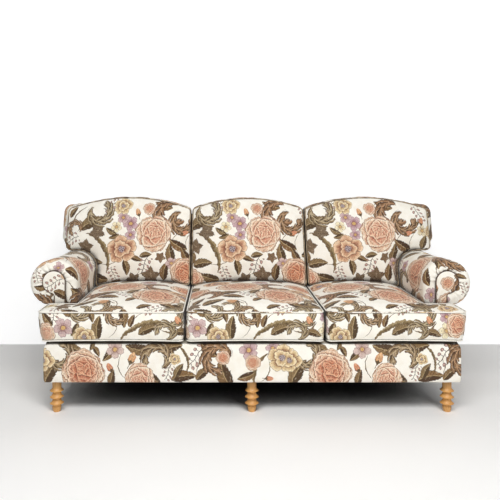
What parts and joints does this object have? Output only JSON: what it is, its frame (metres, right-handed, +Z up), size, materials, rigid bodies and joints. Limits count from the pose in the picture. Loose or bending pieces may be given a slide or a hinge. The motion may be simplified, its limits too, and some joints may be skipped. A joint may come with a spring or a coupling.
{
  "type": "english roll arm sofa",
  "caption": "Loose-cushion roll arm sofa with T-shaped seat cushions, arched back cushions, gathered arm fronts and turned bobbin legs.",
  "frame": {"origin": "on the floor, at the centre of the overall width and depth", "axes": "+X across the sofa, to the right as seen from the front; +Y towards the back; +Z up"},
  "size_m": [2.1, 0.95, 0.943],
  "materials": {
    "floral_fabric": "cream cotton tapestry cloth printed all over with large roses, leaves and scrolls",
    "leg_wood": "honey oak, satin lacquer",
    "frame_timber": "planed beech, unfinished",
    "bolt_steel": "zinc plated",
    "spring_steel": "oil tempered wire",
    "dust_cloth": "black spunbond cloth",
    "webbing": "woven jute webbing",
    "platform_cloth": "plain cream platform cloth over felt",
    "foam": "reflex foam wrapped in fibre",
    "feather_pad": "down-proof cotton case filled with feather",
    "zip": "nylon coil zip"
  },
  "bodies": {
    "frame": {"front_leg_left": "leg_wood", "front_leg_middle": "leg_wood", "front_leg_right": "leg_wood", "rear_leg_left": "leg_wood", "rear_leg_middle": "leg_wood", "rear_leg_right": "leg_wood", "leg_bolts": "bolt_steel", "leg_blocks": "frame_timber", "front_rail": "frame_timber", "rear_rail": "frame_timber", "side_rail_left": "frame_timber", "side_rail_right": "frame_timber", "centre_stretcher": "frame_timber", "dust_cover": "dust_cloth", "front_border": "floral_fabric", "seat_springs": "spring_steel", "spring_clips": "spring_steel", "seat_platform": "platform_cloth", "arm_cover_left": "floral_fabric", "arm_cover_right": "floral_fabric", "outside_arm_left": "floral_fabric", "outside_arm_right": "floral_fabric", "arm_front_board_left": "frame_timber", "arm_front_board_right": "frame_timber", "arm_rear_board_left": "frame_timber", "arm_rear_board_right": "frame_timber", "arm_top_rail_left": "frame_timber", "arm_top_rail_right": "frame_timber", "arm_facing_left": "floral_fabric", "arm_facing_right": "floral_fabric", "arm_facing_welt_left": "floral_fabric", "arm_facing_welt_right": "floral_fabric", "back_posts": "frame_timber", "back_top_rail": "frame_timber", "back_lower_rail": "frame_timber", "back_webbing": "webbing", "back_padding": "floral_fabric", "outside_back": "floral_fabric"},
    "left_seat_cushion": {"seat_cushion_left": "floral_fabric", "seat_core_left": "foam", "seat_welt_left": "floral_fabric", "seat_zip_left": "zip"},
    "middle_seat_cushion": {"seat_cushion_middle": "floral_fabric", "seat_core_middle": "foam", "seat_welt_middle": "floral_fabric", "seat_zip_middle": "zip"},
    "right_seat_cushion": {"seat_cushion_right": "floral_fabric", "seat_core_right": "foam", "seat_welt_right": "floral_fabric", "seat_zip_right": "zip"},
    "left_back_cushion": {"back_cushion_left": "floral_fabric", "back_fill_left": "feather_pad"},
    "middle_back_cushion": {"back_cushion_middle": "floral_fabric", "back_fill_middle": "feather_pad"},
    "right_back_cushion": {"back_cushion_right": "floral_fabric", "back_fill_right": "feather_pad"}
  },
  "joints": [
    {"name": "left_seat_lift_out", "type": "slide", "parent": "frame", "child": "left_seat_cushion", "axis": [0, -1, 0], "range_m": [0, 0.75]},
    {"name": "middle_seat_lift_out", "type": "slide", "parent": "frame", "child": "middle_seat_cushion", "axis": [0, -1, 0], "range_m": [0, 0.75]},
    {"name": "right_seat_lift_out", "type": "slide", "parent": "frame", "child": "right_seat_cushion", "axis": [0, -1, 0], "range_m": [0, 0.75]},
    {"name": "left_back_lift_off", "type": "slide", "parent": "frame", "child": "left_back_cushion", "axis": [0, 0, 1], "range_m": [0, 0.5]},
    {"name": "middle_back_lift_off", "type": "slide", "parent": "frame", "child": "middle_back_cushion", "axis": [0, 0, 1], "range_m": [0, 0.5]},
    {"name": "right_back_lift_off", "type": "slide", "parent": "frame", "child": "right_back_cushion", "axis": [0, 0, 1], "range_m": [0, 0.5]}
  ]
}
